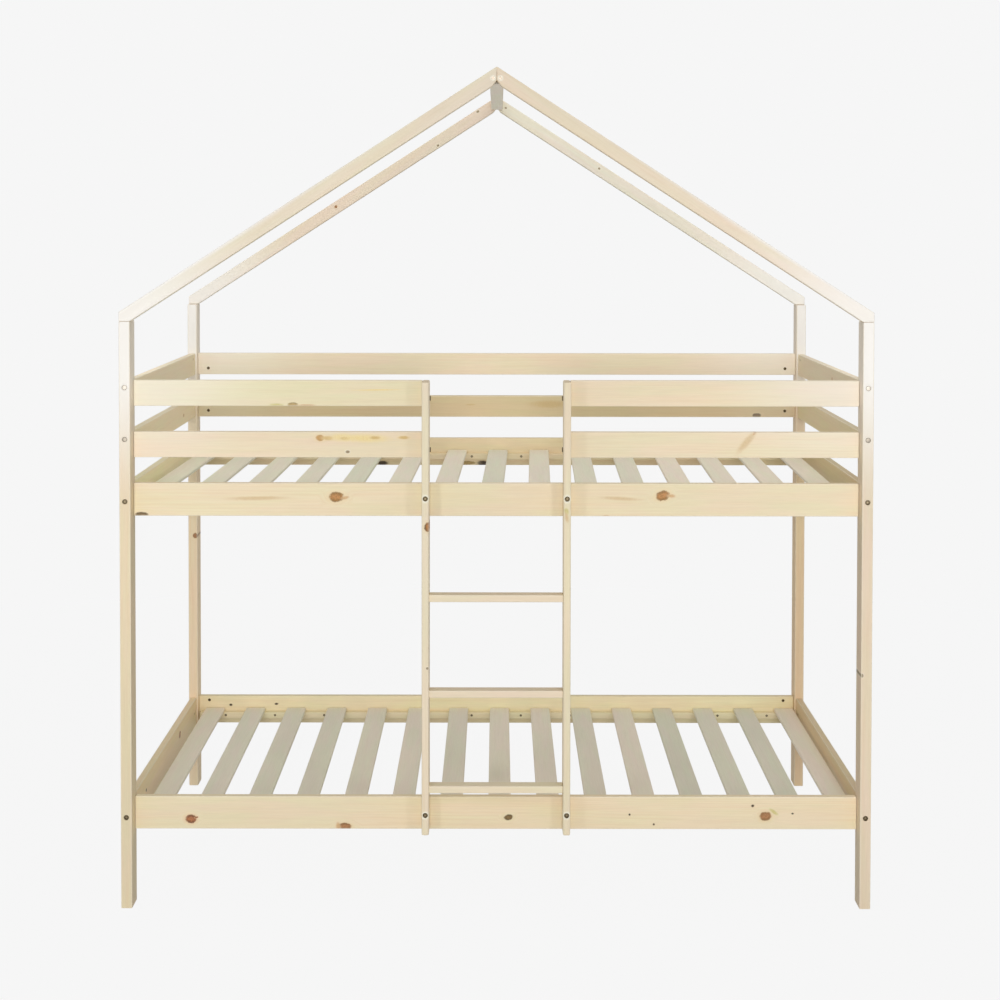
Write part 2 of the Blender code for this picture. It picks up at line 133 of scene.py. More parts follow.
def makeKnotBend():
    # one knot: how far away it is, in knot sizes, and the grain bent round it
    tree, given, out = newGroup("knot", [
        ("Vector", "Vector", (0, 0, 0)), ("Point", "Vector", (0, 0, 0)), ("Centre", "Vector", (0, 0, 0)),
        ("Half Size", "Vector", (0.01, 1, 0.01)), ("Turn", "Float", 0.0), ("Bend", "Float", 0.62)],
        [("Vector", "Vector"), ("Away", "Float"), ("Arc", "Float")])
    offset = vectors(tree, "SUBTRACT", (-1200, 0), given["Point"], given["Centre"])
    turned = put(tree, "ShaderNodeVectorRotate", (-1000, 0), {"Vector": offset, "Angle": given["Turn"]},
                 rotation_type="Y_AXIS").outputs[0]
    scaled = vectors(tree, "DIVIDE", (-800, 0), turned, given["Half Size"])
    size = vectors(tree, "LENGTH", (-600, 0), scaled)
    rise = maths(tree, "ABSOLUTE", (-600, 300), component(tree, (-800, 300), scaled, "Z"))
    rough = noise(tree, (-1000, -300), given["Point"], 130, 3)
    away = maths(tree, "ADD", (-200, 0), maths(tree, "MULTIPLY_ADD", (-400, 0), rough, 0.55, size), -0.275)
    push = fade(tree, (0, -200), away, 3.0, 0.6, 0.0, given["Bend"])
    shove = times(tree, (200, -200), offset, push)
    feed(tree, out["Vector"], vectors(tree, "SUBTRACT", (400, 0), given["Vector"], shove))
    feed(tree, out["Away"], away)
    feed(tree, out["Arc"], maths(tree, "DIVIDE", (0, 300), rise, size))
    return tree


def wobble(tree, height, vector, along, across, reach):
    # a shift to all sides that changes along and across the board, at most half the reach
    pattern = noise(tree, (-1200, height), stretch(tree, (-1400, height), vector, along, across), output="Color")
    return times(tree, (-800, height), vectors(tree, "SUBTRACT", (-1000, height), pattern, (0.5, 0.5, 0.5)), reach)


def makePineGrain():
    # rings round the tree's middle, which lies along X, with fibres and slow changes of tone
    tree, given, out = newGroup("pine grain", [
        ("Vector", "Vector", (0, 0, 0)), ("Pale Wood", "Color", (0.86, 0.76, 0.56, 1)),
        ("Ring Wood", "Color", (0.78, 0.62, 0.38, 1)), ("Ring Width", "Float", 0.003),
        ("Wander", "Float", 0.006), ("Ring Strength", "Float", 0.5)],
        [("Color", "Color"), ("Rings", "Float"), ("Fibre", "Float")])
    drift = wobble(tree, 300, given["Vector"], 1.3, 10, given["Wander"])
    shiver = wobble(tree, 0, given["Vector"], 9, 70, 0.0012)
    bent = vectors(tree, "ADD", (-400, 200), vectors(tree, "ADD", (-600, 200), given["Vector"], drift), shiver)
    radius = vectors(tree, "LENGTH", (0, 200), vectors(tree, "MULTIPLY", (-200, 200), bent, (0.004, 1, 1)))
    seasons = put(tree, "ShaderNodeTexNoise", (0, 0), {"W": radius, "Scale": 70.0, "Detail": 1.0},
                  noise_dimensions="1D").outputs["Fac"]
    count = maths(tree, "DIVIDE", (200, 200), radius, given["Ring Width"])
    phase = maths(tree, "FRACT", (500, 200), maths(tree, "MULTIPLY_ADD", (350, 200), seasons, 2.2, count))
    ramp = put(tree, "ShaderNodeValToRGB", (650, 200), {"Fac": phase})
    ramp.color_ramp.interpolation = "EASE"
    for position, level in ((0.0, 0.45), (0.14, 0.0), (0.45, 0.10), (0.80, 0.75), (0.93, 1.0), (1.0, 0.45)):
        stop = ramp.color_ramp.elements.new(position) if 0 < position < 1 else ramp.color_ramp.elements[int(position)]
        stop.color = (level, level, level, 1)
    rings = ramp.outputs[0]
    patterns = ((-200, 18, 420, 2), (-400, 5, 130, 3), (-600, 1.6, 7, 2), (-800, 4.5, 26, 2))
    fibre, streak, tone, blush = (
        noise(tree, (0, height), stretch(tree, (-200, height), given["Vector"], along, across), detail=detail)
        for height, along, across, detail in patterns)
    patchy = fade(tree, (200, -600), tone, 0.36, 0.66, 0.10, 1.0)
    amount = maths(tree, "MULTIPLY", (850, 0), maths(tree, "MULTIPLY", (700, 0), rings, given["Ring Strength"]), patchy)
    streaked = fade(tree, (300, -400), streak, 0.35, 0.75, -0.06, 0.18)
    wood = mixColours(tree, (1000, 0), maths(tree, "ADD", (900, -200), amount, streaked),
                      given["Pale Wood"], given["Ring Wood"])
    shade = maths(tree, "ADD", (900, -500), fade(tree, (500, -500), fibre, 0.25, 0.75, -0.022, 0.022),
                  fade(tree, (500, -700), tone, 0.3, 0.7, 0.965, 1.025))
    tinted = mixColours(tree, (1000, -300), fade(tree, (850, -800), blush, 0.34, 0.66), (0.985, 1.012, 0.965, 1),
                        (1.015, 0.985, 0.985, 1))
    shaded = vectors(tree, "MULTIPLY", (1100, 0), wood, shade)
    feed(tree, out["Color"], vectors(tree, "MULTIPLY", (1200, 0), shaded, tinted))
    feed(tree, out["Rings"], rings)
    feed(tree, out["Fibre"], fibre)
    return tree


def makeKnotStain():
    # the mottled heart of a knot, its darker rim, broken here and there, and the pale or resinous wood round it
    tree, given, out = newGroup("knot stain", [
        ("Color", "Color", (0.8, 0.7, 0.5, 1)), ("Away", "Float", 9.0), ("Arc", "Float", 1.0),
        ("Point", "Vector", (0, 0, 0)), ("Heart", "Color", (0.55, 0.28, 0.11, 1)),
        ("Rim", "Color", (0.40, 0.22, 0.08, 1)), ("Halo", "Color", (0.80, 0.62, 0.38, 1)),
        ("Ring", "Float", 0.6), ("Glow", "Float", 0.4), ("Soft", "Float", 0.15), ("Fill", "Float", 1.0)],
        [("Color", "Color")])
    away = given["Away"]
    glow = maths(tree, "MULTIPLY", (-500, 100), fade(tree, (-800, 100), away, 2.0, 0.9), given["Glow"])
    outer = maths(tree, "ADD", (-1100, -300), given["Soft"], 1.0)
    inner = maths(tree, "SUBTRACT", (-1100, -450), 1.0, given["Soft"])
    inside = maths(tree, "MULTIPLY", (-500, -300), fade(tree, (-800, -300), away, outer, inner), given["Fill"])
    patches = noise(tree, (-1100, -800), given["Point"], 300, 2)
    arc = fade(tree, (-950, -1200), given["Arc"], 0.2, 0.95, 0.4, 1.0)
    broken = maths(tree, "MULTIPLY", (-800, -1000), fade(tree, (-950, -1000), patches, 0.30, 0.50, 0.45, 1.0),
                   maths(tree, "MULTIPLY", (-800, -1200), arc, given["Ring"]))
    band = maths(tree, "MULTIPLY", (-500, -600), fade(tree, (-800, -500), away, 0.40, 0.80),
                 fade(tree, (-800, -700), away, 1.26, 1.02))
    heart = mixColours(tree, (-300, -500), fade(tree, (-500, -900), patches, 0.42, 0.68, 0.0, 0.6),
                       given["Heart"], given["Rim"])
    haloed = mixColours(tree, (-300, 100), glow, given["Color"], given["Halo"])
    filled = mixColours(tree, (0, 0), inside, haloed, heart)
    rim = maths(tree, "MULTIPLY", (0, -400), band, broken)
    feed(tree, out["Color"], mixColours(tree, (300, 0), rim, filled, given["Rim"]))
    return tree


def makeBoardEnds():
    # sanded edges a little paler, partly wear and partly a painted highlight along the edges,
    # sawn ends darker; the board's middle is the origin
    tree, given, out = newGroup("board ends", [
        ("Color", "Color", (0.8, 0.7, 0.5, 1)), ("Point", "Vector", (0, 0, 0)), ("Normal", "Vector", (0, 0, 1)),
        ("Grain", "Vector", (1, 0, 0)), ("Half Size", "Vector", (1, 1, 1)), ("Edge Width", "Float", 0.003),
        ("Edge Wood", "Color", (0.9, 0.82, 0.66, 1)), ("End Wood", "Color", (0.56, 0.41, 0.23, 1))],
        [("Color", "Color")])
    along = vectors(tree, "DOT_PRODUCT", (-1100, -500), given["Normal"], given["Grain"])
    end = fade(tree, (-700, -500), maths(tree, "ABSOLUTE", (-900, -500), along), *endFacing)
    aside = vectors(tree, "ABSOLUTE", (-1100, 0), given["Point"])
    reach = vectors(tree, "SUBTRACT", (-900, 0), given["Half Size"], aside)
    x, y, z = put(tree, "ShaderNodeSeparateXYZ", (-700, 0), {0: reach}).outputs
    least, most = maths(tree, "MINIMUM", (-500, 100), x, y), maths(tree, "MAXIMUM", (-500, -50), x, y)
    second = maths(tree, "MAXIMUM", (-100, 0), least, maths(tree, "MINIMUM", (-300, -50), most, z))
    ragged = maths(tree, "MULTIPLY_ADD", (100, 0), noise(tree, (-300, -300), given["Point"], 60, 3), -0.002, second)
    edge = fade(tree, (300, 0), ragged, given["Edge Width"], -0.0004, 0.0, 0.5)
    wearAndHighlight = mixColours(tree, (600, 0), edge, given["Color"], given["Edge Wood"])
    pores = noise(tree, (300, -500), given["Point"], 900, 2)
    sawn = maths(tree, "MULTIPLY", (600, -400), end, fade(tree, (450, -500), pores, 0.3, 0.7, 0.45, 0.75))
    feed(tree, out["Color"], mixColours(tree, (900, 0), sawn, wearAndHighlight, given["End Wood"]))
    return tree


def makeCornerGlare():
    # painted highlight: the colour pales to near white towards the upper corners of the frame, more on faces turned to
    # the front, and along a top edge where a height is given
    tree, given, out = newGroup("eaves bleach", [
        ("Color", "Color", (0.8, 0.7, 0.5, 1)), ("Point", "Vector", (0, 0, 0)),
        ("Corner", "Vector", (0.98, 0, 1.5)), ("Reach", "Float", 0.47), ("Amount", "Float", 0.8),
        ("Bleached Wood", "Color", (0.975, 0.950, 0.905, 1)), ("Height", "Float", -1.0), ("Top", "Float", 0.0),
        ("Normal", "Vector", (0, 1, 0))], [("Color", "Color")])
    level = vectors(tree, "MULTIPLY", (-1000, 0), vectors(tree, "ABSOLUTE", (-1200, 0), given["Point"]), (1, 0, 1))
    away = vectors(tree, "DISTANCE", (-800, 0), level, given["Corner"])
    share = maths(tree, "DIVIDE", (-600, 0), away, given["Reach"])
    frontal = maths(tree, "ABSOLUTE", (-800, 300), component(tree, (-1000, 300), given["Normal"], "Y"))
    turned = fade(tree, (-600, 300), frontal, 0.2, 0.9, 0.6, 1.0)
    amount = maths(tree, "MULTIPLY", (-200, 200), fade(tree, (-400, 0), share, 1.0, 0.12, 0.0, given["Amount"]), turned)
    below = maths(tree, "SUBTRACT", (-600, -200), given["Height"], given["Top"])
    upper = fade(tree, (-400, -200), below, -0.020, -0.001, 0.0, 0.95)
    both = maths(tree, "MAXIMUM", (0, 100), amount, upper)
    feed(tree, out["Color"], mixColours(tree, (200, 0), both, given["Color"], given["Bleached Wood"]))
    return tree


knotBend, pineGrain, knotStain = makeKnotBend(), makePineGrain(), makeKnotStain()
boardEnds, cornerGlare = makeBoardEnds(), makeCornerGlare()
print("2 of 6: knots, grain, stain, edges and bleach are ready as node groups")


# Pine, one material for each board, because no two boards share their rings and knots

pine = {
    # the last amount of each family is the strength of the painted highlight towards the upper corners of the frame
    "post": {"pale": (0.850, 0.728, 0.508), "ring": (0.775, 0.610, 0.370), "strength": 0.40, "bleach": 0.92},
    "rail": {"pale": (0.858, 0.742, 0.515), "ring": (0.780, 0.615, 0.370), "strength": 0.42, "bleach": 0.45},
    "guard": {"pale": (0.860, 0.742, 0.520), "ring": (0.785, 0.620, 0.380), "strength": 0.38, "bleach": 0.45},
    "ladder": {"pale": (0.864, 0.745, 0.560), "ring": (0.790, 0.632, 0.420), "strength": 0.36, "bleach": 0.0},
    "roof": {"pale": (0.866, 0.768, 0.608), "ring": (0.785, 0.632, 0.430), "strength": 0.34, "bleach": 0.80},
    "roughness": (0.66, 0.50), "bump": 0.14, "bumpDepth": 0.0004, "ringRelief": 0.5, "ringWidth": (0.0034, 0.0064),
    "wander": (0.010, 0.020), "ownTone": (0.975, 1.02), "palest": 0.97, "pithAlong": 9, "pithAway": (0.035, 0.08),
    "pithAcross": 0.03,
}

# knots and stains: the colours of heart, rim and surrounding wood, how strongly the rim and the surrounding wood
# show, how soft the outline is, how strongly the heart shows and how far the grain bends round it
knotLook = ("Heart", "Rim", "Halo", "Ring", "Glow", "Soft", "Fill", "Bend")
knotKinds = {
    "orange": ((0.56, 0.262, 0.082), (0.255, 0.13, 0.032), (0.87, 0.66, 0.38), 0.85, 0.55, 0.16, 1.0, 0.62),
    "amber": ((0.5, 0.2, 0.048), (0.16, 0.085, 0.025), (0.88, 0.7, 0.42), 0.95, 0.5, 0.16, 1.0, 0.62),
    "red": ((0.46, 0.17, 0.06), (0.18, 0.065, 0.022), (0.84, 0.58, 0.32), 1.0, 0.6, 0.16, 1.0, 0.62),
    "russet": ((0.46, 0.215, 0.088), (0.27, 0.13, 0.042), (0.82, 0.6, 0.34), 0.95, 0.6, 0.16, 1.0, 0.62),
    "olive": ((0.24, 0.15, 0.05), (0.11, 0.07, 0.022), (0.8, 0.64, 0.4), 0.9, 0.3, 0.16, 1.0, 0.62),
    "black": ((0.07, 0.045, 0.02), (0.03, 0.02, 0.01), (0.38, 0.31, 0.17), 0.6, 0.5, 0.3, 1.0, 0.2),
    "pin": ((0.06, 0.038, 0.014), (0.05, 0.03, 0.01), (0.7, 0.56, 0.34), 0.3, 0.4, 0.35, 1.0, 0.1),
    "honey": ((0.6, 0.34, 0.115), (0.46, 0.27, 0.09), (0.87, 0.69, 0.38), 0.4, 0.5, 0.26, 1.0, 0.4),
    "grey": ((0.33, 0.255, 0.14), (0.27, 0.2, 0.11), (0.92, 0.84, 0.68), 0.3, 0.7, 0.4, 1.0, 0.3),
    "moss": ((0.52, 0.37, 0.155), (0.33, 0.23, 0.08), (0.84, 0.74, 0.48), 0.9, 0.4, 0.3, 1.0, 0.4),
    "flame": ((0.67, 0.465, 0.18), (0.62, 0.41, 0.15), (0.86, 0.7, 0.4), 0.0, 0.5, 0.55, 0.9, 0.1),
    "yellow": ((0.88, 0.715, 0.33), (0.82, 0.6, 0.27), (0.86, 0.72, 0.46), 0.0, 0.2, 0.7, 0.9, 0.0),
    "blush": ((0.735, 0.555, 0.32), (0.66, 0.5, 0.28), (0.84, 0.69, 0.47), 0.0, 0.3, 0.6, 1.0, 0.0),
    "tail": ((0.68, 0.43, 0.21), (0.52, 0.3, 0.12), (0.83, 0.66, 0.43), 0.0, 0.4, 0.5, 0.85, 0.0),
    "lime": ((0.64, 0.555, 0.215), (0.56, 0.48, 0.16), (0.82, 0.75, 0.48), 0.0, 0.4, 0.5, 0.85, 0.0),
    "umber": ((0.63, 0.465, 0.225), (0.58, 0.42, 0.19), (0.7, 0.56, 0.33), 0.0, 0.2, 0.6, 0.85, 0.0),
    # this kind is no knot but a painted highlight: a pale ring round a bolt or screw head
    "seat_highlight": ((0.55, 0.28, 0.11), (0.4, 0.22, 0.08), (0.97, 0.93, 0.77), 0.0, 1.0, 0.16, 0.0, 0.0),
}

ridgeRise = 0.0125       # the ridge screws above the beam's underside
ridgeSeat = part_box("ridge_beam")[0].z + ridgeRise
# knots as (place along the board, place across it, half length, half height, turn in degrees, kind); the places are
# the bed's own coordinates, a knot goes right through its board, and the pale rings at bolts and screws are painted
# highlights
knots = {
    "upper_rail_front": [(-0.4222, 1.0825, 0.0180, 0.0116, 0, "orange"),
        (-0.3985, 1.0805, 0.0090, 0.0034, 14, "tail"), (0.4396, 1.0872, 0.0168, 0.0116, 16, "orange"),
        (0.4625, 1.0862, 0.0090, 0.0042, 0, "tail"), (-0.9367, 1.0345, 0.0170, 0.0065, 0, "olive"),
        (0.2900, 1.0330, 0.0080, 0.0022, 0, "tail"), (0.3280, 1.0790, 0.0450, 0.0040, -3, "blush"),
        (-0.6300, 1.0790, 0.0700, 0.0045, 1, "blush")],
    "lower_rail_front": [(-0.8089, 0.2242, 0.0130, 0.0100, 0, "red"), (-0.7945, 0.2286, 0.0042, 0.0018, 15, "red"),
        (-0.4012, 0.2045, 0.0165, 0.0085, 0, "russet"), (-0.4185, 0.2050, 0.0050, 0.0100, 10, "tail"),
        (0.0333, 0.2298, 0.0108, 0.0066, 8, "olive"), (0.7152, 0.2333, 0.0140, 0.0104, 8, "russet"),
        (0.7372, 0.2450, 0.0120, 0.0042, -36, "lime"), (0.3546, 0.2373, 0.0026, 0.0026, 0, "pin"),
        (0.4189, 0.2113, 0.0026, 0.0026, 0, "pin"), (0.6811, 0.2611, 0.0036, 0.0030, 20, "pin"),
        (0.7871, 0.2405, 0.0030, 0.0022, 0, "pin")],
    "lower_guard_front_left": [(-0.4648, 1.2388, 0.0106, 0.0074, 0, "honey"),
        (-0.3922, 1.2020, 0.0054, 0.0036, 0, "grey"), (-0.4430, 1.2385, 0.0130, 0.0052, 0, "flame"),
        (-0.4060, 1.2400, 0.0260, 0.0085, 0, "yellow"), (-0.4000, 1.2378, 0.0110, 0.0036, 0, "flame"),
        (-0.3450, 1.2380, 0.0500, 0.0090, -1, "yellow"), (-0.3200, 1.2395, 0.0120, 0.0040, 0, "flame"),
        (-0.2440, 1.2400, 0.0130, 0.0040, 0, "flame")],
    "upper_guard_front_left": [(-0.5363, 1.3262, 0.0120, 0.0058, 0, "moss"),
        (-0.5800, 1.3255, 0.0160, 0.0040, 0, "lime"), (-0.5000, 1.3252, 0.0200, 0.0024, 0, "tail"),
        (-0.3150, 1.3660, 0.0500, 0.0020, 1, "yellow")],
    "lower_guard_front_right": [(0.6599, 1.2290, 0.0330, 0.0080, 49, "blush"),
        (0.6805, 1.2525, 0.0065, 0.0026, 49, "tail")],
    "lower_guard_back": [(0.8342, 1.1930, 0.0128, 0.0060, 0, "olive"), (0.1700, 1.2280, 0.0560, 0.0110, 0, "umber"),
        (-0.0830, 1.2265, 0.0150, 0.0026, 0, "umber")],
    # the two black entries are near-black spots on the rail's face just under the ledge
    "upper_rail_back": [(-0.0447, 1.0380, 0.0150, 0.0070, 0, "black"), (-0.3655, 1.0380, 0.0140, 0.0060, 0, "black"),
        (-0.1000, 1.0390, 0.0300, 0.0050, 0, "moss")],
    "lower_rail_back": [(-0.8550, 0.2560, 0.0045, 0.0035, 0, "pin"), (-0.7080, 0.2590, 0.0055, 0.0030, 0, "pin")],
    "lower_rail_left": [(0.1800, 0.2500, 0.0120, 0.0090, 0, "russet"), (-0.3000, 0.2450, 0.0050, 0.0040, 0, "pin")],
    "upper_rail_right": [(-0.2300, 1.0600, 0.0130, 0.0090, 0, "orange")],
    "lower_guard_left": [(0.2600, 1.2150, 0.0070, 0.0050, 0, "honey")],
    "upper_guard_right": [(-0.0800, 1.3600, 0.0080, 0.0060, 0, "honey")],
    "post_back_left": [(0.8070, -0.9645, 0.0075, 0.0065, 0, "russet")],
    "post_front_right": [(0.6200, 0.9600, 0.0050, 0.0040, 0, "grey")],
    "ladder_stile_left": [(1.0113, -0.1780, 0.0118, 0.0090, 0, "amber"),
        (0.6400, -0.1800, 0.0035, 0.0030, 0, "grey"), (1.0855, -0.1855, 0.0072, 0.0072, 0, "seat_highlight"),
        (0.2515, -0.1855, 0.0072, 0.0072, 0, "seat_highlight")],
    "ladder_stile_right": [(1.0531, 0.1829, 0.0080, 0.0058, 20, "lime"),
        (1.0375, 0.1840, 0.0110, 0.0042, 12, "blush"), (1.0855, 0.1855, 0.0072, 0.0072, 0, "seat_highlight"),
        (0.2515, 0.1855, 0.0072, 0.0072, 0, "seat_highlight")],
    "rafter_front_left": [(-0.0098, ridgeSeat, 0.0050, 0.0050, 0, "seat_highlight")],
    "rafter_front_right": [(0.0098, ridgeSeat, 0.0050, 0.0050, 0, "seat_highlight")],
    "rafter_back_left": [(-0.0610, 2.1640, 0.0050, 0.0034, 0, "grey"), (-0.1883, 2.0560, 0.0044, 0.0034, 0, "grey"),
        (-0.5147, 1.8600, 0.0045, 0.0040, 0, "russet")],
    "rafter_back_right": [(0.0280, 2.1760, 0.0036, 0.0028, 0, "grey"), (0.3270, 1.9830, 0.0040, 0.0030, 0, "grey")],
}
# each board's tone, against its family's: partly its own tone, partly painted light and shade, paler where a board
# would render too dark under these lamps, as the ridge beam's underside, darker where shade falls, as on the lower back
# guard
tonesAndPaintedLight = {
    "post_front_left": (0.95, 0.925, 0.92), "post_front_right": (0.95, 0.91, 0.98),
    "post_back_left": (1.10, 1.08, 1.06), "post_back_right": (1.00, 0.88, 0.83),
    "upper_guard_back": (1.02, 0.99, 1.05), "lower_guard_back": (0.84, 0.79, 0.68),
    "upper_rail_back": (0.94, 0.92, 0.88), "lower_rail_back": (1.03, 1.01, 0.98),
    "rafter_back_left": (0.97, 0.94, 0.95), "rafter_back_right": (1.01, 1.04, 1.13), "ridge_beam": (1.10, 1.18, 1.36),
    "lower_rail_left": (1.10, 1.02, 0.93), "lower_rail_right": (0.93, 0.86, 0.75),
    "upper_rail_left": (1.13, 1.18, 1.13), "upper_rail_right": (0.84, 0.80, 0.68),
    "lower_guard_left": (1.09, 1.09, 1.00), "lower_guard_right": (0.93, 0.89, 0.78),
    "upper_guard_left": (1.03, 1.00, 0.90), "upper_guard_right": (0.94, 0.91, 0.81),
}
# end grain colours; the ridge beam's near-black end is painted shade, for the deep shade in the recess at the apex
endWood = {"plain": (0.56, 0.41, 0.23, 1), "ridge_beam": (0.02, 0.014, 0.008, 1)}


def grainTurn(name, mesh, size):
    # the turn that lays a board's grain along X; a rafter's slope is that of its longest edge
    if name.startswith("rafter"):
        edges = [mesh.vertices[edge.vertices[1]].co - mesh.vertices[edge.vertices[0]].co for edge in mesh.edges]
        longest = max(edges, key=lambda edge: edge.length)
        slope = atan2(abs(longest.z), abs(longest.x))
        return Euler((0, slope if name.endswith("left") else -slope, 0))
    along = max(range(3), key=lambda axis: size[axis])
    return Euler(((0, 0, 0), (0, 0, -pi / 2), (0, pi / 2, 0))[along])


def boxOf(points):
    return [Vector(pick(point[axis] for point in points) for axis in range(3)) for pick in (min, max)]


def pineMaterial(name, family, mesh, knotList):
    finish, chance = pine[family], random.Random(name)
    corners = [vertex.co for vertex in mesh.vertices]
    low, high = boxOf(corners)
    turn = grainTurn(name, mesh, high - low)
    low, high = boxOf([turn.to_matrix() @ corner for corner in corners])
    middle, half = (low + high) / 2, (high - low) / 2

    material, tree, shader = newMaterial(f"{name} pine")
    shader.location = (900, 0)
    place = put(tree, "ShaderNodeTexCoord", (-2200, 0)).outputs
    board = put(tree, "ShaderNodeMapping", (-2000, 0),
                {"Vector": place["Object"], "Location": -middle, "Rotation": turn}).outputs[0]
    facing = put(tree, "ShaderNodeMapping", (-2000, -400), {"Vector": place["Normal"], "Rotation": turn}).outputs[0]

    grain, stains = board, []
    for count, (along, across, length, height, angle, kind) in enumerate(knotList):
        spot = Vector({"X": (along, 0, across), "Y": (0, along, across), "Z": (across, 0, along)}[longAxis(turn)])
        centre = turn.to_matrix() @ spot - middle
        centre.y = 0
        look = dict(zip(knotLook, knotKinds[kind]))
        knot = useGroup(tree, knotBend, (-1700 + 180 * count, 300), {
            "Vector": grain, "Point": board, "Centre": centre, "Half Size": (length, 1, height),
            "Turn": radians(angle), "Bend": look.pop("Bend")})
        grain = knot["Vector"]
        stains.append((knot, {key: (*value, 1) if isinstance(value, tuple) else value for key, value in look.items()}))

    # the tree's middle lies outside the board, mostly behind one of its wide faces
    pith = Vector((chance.uniform(-pine["pithAlong"], pine["pithAlong"]),
                   chance.choice((-1, 1)) * chance.uniform(*pine["pithAway"]),
                   chance.uniform(-pine["pithAcross"], pine["pithAcross"])))
    # the board's tone here carries painted light and shade as well as its own tone
    tone = [chance.uniform(*pine["ownTone"]) * channel for channel in tonesAndPaintedLight.get(name, (1, 1, 1))]
    pale, ring = ((*(min(pine["palest"], a * b) for a, b in zip(tone, finish[key])), 1) for key in ("pale", "ring"))
    wood = useGroup(tree, pineGrain, (0, 300), {
        "Vector": vectors(tree, "SUBTRACT", (-200, 300), grain, pith), "Pale Wood": pale, "Ring Wood": ring,
        "Ring Width": chance.uniform(*pine["ringWidth"]), "Wander": chance.uniform(*pine["wander"]),
        "Ring Strength": finish["strength"]})
    colour = wood["Color"]
    for count, (knot, look) in enumerate(stains):
        colour = useGroup(tree, knotStain, (200, 500 + 300 * count), {
            "Color": colour, "Away": knot["Away"], "Arc": knot["Arc"], "Point": board, **look})["Color"]
    # painted highlight: the colour pales towards the upper corners, and on the front rafters also along their top edge
    if finish["bleach"]:
        inputs = {"Color": colour, "Point": place["Object"], "Amount": finish["bleach"], "Normal": place["Normal"]}
        if name.startswith("rafter_front"):
            inputs.update({"Height": component(tree, (200, 0), board, "Z"), "Top": half.z})
        colour = useGroup(tree, cornerGlare, (400, 300), inputs)["Color"]
    ends = useGroup(tree, boardEnds, (600, 300), {
        "Color": colour, "Point": board, "Normal": facing, "Half Size": half,
        "End Wood": endWood.get(name, endWood["plain"])})
    feed(tree, shader.inputs["Base Color"], ends["Color"])
    feed(tree, shader.inputs["Roughness"], fade(tree, (600, -100), wood["Rings"], 0, 1, *pine["roughness"]))
    ridges = maths(tree, "MULTIPLY", (250, -400), wood["Rings"], pine["ringRelief"])
    relief = maths(tree, "ADD", (400, -400), ridges, wood["Fibre"])
    feed(tree, shader.inputs["Normal"], bump(tree, (700, -400), relief, pine["bump"], pine["bumpDepth"]))
    return material


def longAxis(turn):
    # an upright board is turned by a quarter, a rafter by less
    return "Y" if turn.z else "Z" if abs(turn.y) > 1.5 else "X"


def familyOf(name):
    for part, family in (("post", "post"), ("rafter", "roof"), ("ridge", "roof"), ("rail", "rail"), ("guard", "guard")):
        if part in name:
            return family
    return "ladder"


for name, board in nodes.items():
    if "slat" not in name and name != "ladder_stile_left":
        board.material_slots[0].material = pineMaterial(name, familyOf(name), board.data, knots.get(name, []))
print("3 of 6: every board has its own pine")


# Mesh helpers

meshing = {"smooth": 35, "stileSmooth": 20, "samePoint": 0.000001, "weld": 0.00001, "near": 0.0001, "upward": 0.9}


def toMesh(shape, name):
    mesh = bpy.data.meshes.new(name)
    shape.to_mesh(mesh)
    shape.free()
    return mesh


def inScene(name, data):
    item = bpy.data.objects.new(name, data)
    bpy.context.scene.collection.objects.link(item)
    return item


def nameIt(shape, name, materials, stands=(), smooth=meshing["smooth"]):
    # a finished piece: its place is in its mesh, its object stays at the origin
    mesh = toMesh(shape, name)
    for material in materials:
        mesh.materials.append(material)
    mesh.shade_smooth()
    mesh.set_sharp_from_angle(angle=radians(smooth))
    piece = inScene(name, mesh)
    piece.modifiers.new("flat faces stay flat", "WEIGHTED_NORMAL").keep_sharp = True
    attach(piece, "root")
    if stands:
        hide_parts(*stands)
    return piece


def roundOff(shape, edges, offset, segments):
    bmesh.ops.bevel(shape, geom=edges, offset=offset, offset_type="OFFSET", segments=segments, profile=0.5,
                    affect="EDGES", material=-1)


def cut(shape, point, across):
    bmesh.ops.bisect_plane(shape, geom=shape.verts[:] + shape.edges[:] + shape.faces[:], dist=meshing["samePoint"],
                           plane_co=point, plane_no=across)


def topFace(shape):
    return max(shape.faces, key=lambda face: face.calc_center_median().z)


def disc(shape, radius, height, base, sides):
    bmesh.ops.create_cone(shape, cap_ends=True, segments=sides, radius1=radius, radius2=radius, depth=height,
                          matrix=Matrix.Translation((0, 0, base + height / 2)))


def sink(shape, faces, depth):
    # faces pushed straight down, with walls
    lowered = bmesh.ops.extrude_face_region(shape, geom=faces)["geom"]
    bmesh.ops.delete(shape, geom=faces, context="FACES_KEEP_BOUNDARY")
    bmesh.ops.translate(shape, verts=[item for item in lowered if isinstance(item, bmesh.types.BMVert)],
                        vec=(0, 0, -depth))
    return [item for item in lowered if isinstance(item, bmesh.types.BMFace)]


def setCopies(name, template, spots, materials):
    # copies of a fitting that points up, one at each point and direction
    shape = bmesh.new()
    for point, direction in spots:
        turn = Vector(direction).to_track_quat("Z", "Y").to_matrix().to_4x4()
        before = len(shape.verts)
        shape.from_mesh(template)
        shape.verts.ensure_lookup_table()
        bmesh.ops.transform(shape, matrix=Matrix.Translation(point) @ turn, verts=shape.verts[before:])
    nameIt(shape, name, materials)


# Fittings: bolts with a hexagon socket, barrel nuts with a slot, cross-head screws

